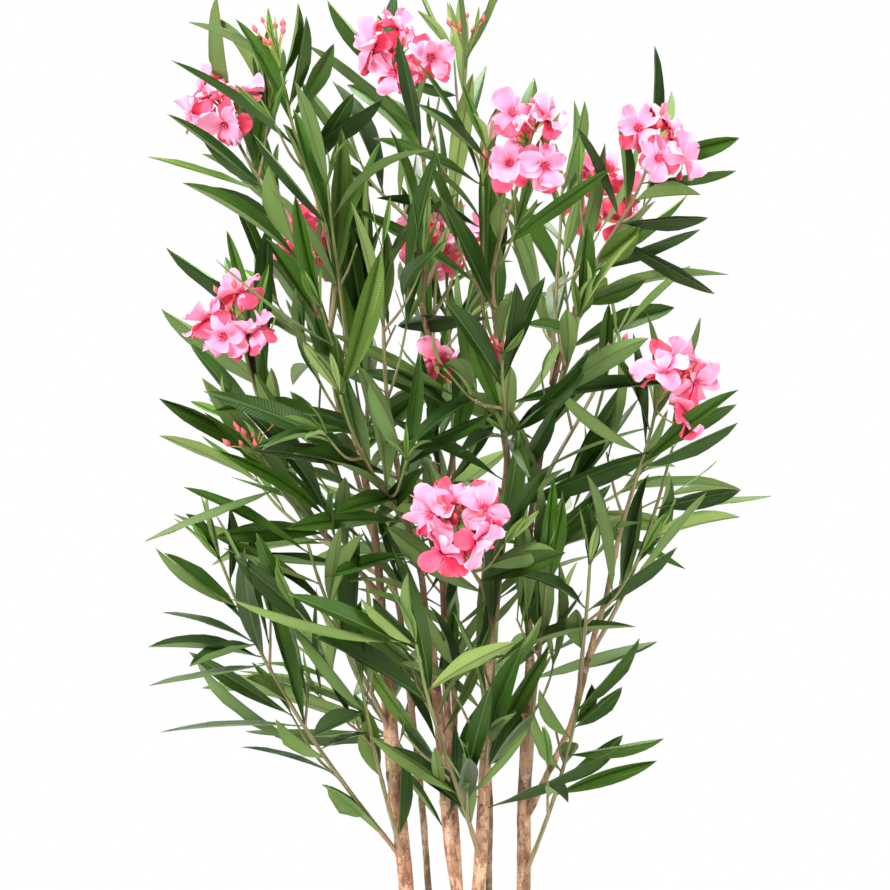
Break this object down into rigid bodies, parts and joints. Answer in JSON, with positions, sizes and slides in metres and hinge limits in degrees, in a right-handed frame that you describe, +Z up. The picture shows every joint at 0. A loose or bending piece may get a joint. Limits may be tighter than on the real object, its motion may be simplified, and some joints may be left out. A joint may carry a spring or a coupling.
{
  "type": "artificial potted oleander",
  "caption": "Artificial oleander shrub with natural wood stems, long narrow leaves and pink flowers, standing in a plain filled plastic pot.",
  "frame": {"origin": "centre of the pot's flat underside, at floor level", "axes": "+Z up along the stems, -Y to the plant's front, +X to its right as seen from the front"},
  "size_m": [0.6612, 0.7231, 1.4922],
  "materials": {
    "pot_plastic": "matt black injection-moulded plastic",
    "cement": "rough cast cement",
    "bark": "natural peeled stem wood with knots",
    "young_bark": "thin brown-green twig bark",
    "foliage": "satin printed polyester leaves and petals"
  },
  "bodies": {
    "root": {"pot": "pot_plastic", "filling": "cement", "stem_left": "bark", "stem_left_thin": "bark", "stem_slanting": "bark", "stem_centre": "bark", "stem_front": "bark", "stem_right_thin": "bark", "stem_right": "bark", "bough_left": "young_bark", "bough_left_low": "young_bark", "bough_front": "young_bark", "bough_top": "young_bark", "bough_back": "young_bark", "bough_centre": "young_bark", "bough_right": "young_bark", "bough_right_low": "young_bark", "bough_back_left": "young_bark", "bough_back_right": "young_bark", "spray_low_left": "foliage", "spray_low_front": "foliage", "spray_left_front": "foliage", "spray_left_flowers": "foliage", "spray_left_buds": "foliage", "spray_left_top_flowers": "foliage", "spray_left_peak": "foliage", "spray_left_inner": "foliage", "spray_left_centre": "foliage", "spray_left_side": "foliage", "spray_front_left": "foliage", "spray_front_middle": "foliage", "spray_top_flowers": "foliage", "spray_top_left": "foliage", "spray_top_peak": "foliage", "spray_back_middle": "foliage", "spray_centre_flowers": "foliage", "spray_centre_high": "foliage", "spray_centre_front": "foliage", "spray_centre_middle": "foliage", "spray_front_flowers": "foliage", "spray_front_low": "foliage", "spray_low_centre": "foliage", "spray_right_top_flowers": "foliage", "spray_right_high": "foliage", "spray_right_inner": "foliage", "spray_right_front": "foliage", "spray_right_side": "foliage", "spray_right_flowers": "foliage", "spray_right_far": "foliage", "spray_right_near": "foliage", "spray_right_middle": "foliage", "spray_low_right": "foliage", "spray_back_left_top": "foliage", "spray_back_left_low": "foliage", "spray_back_top": "foliage", "spray_back_low": "foliage", "spray_back_right_top": "foliage", "spray_back_right_low": "foliage", "spray_low_back_right": "foliage", "spray_low_back_left": "foliage"}
  },
  "joints": []
}
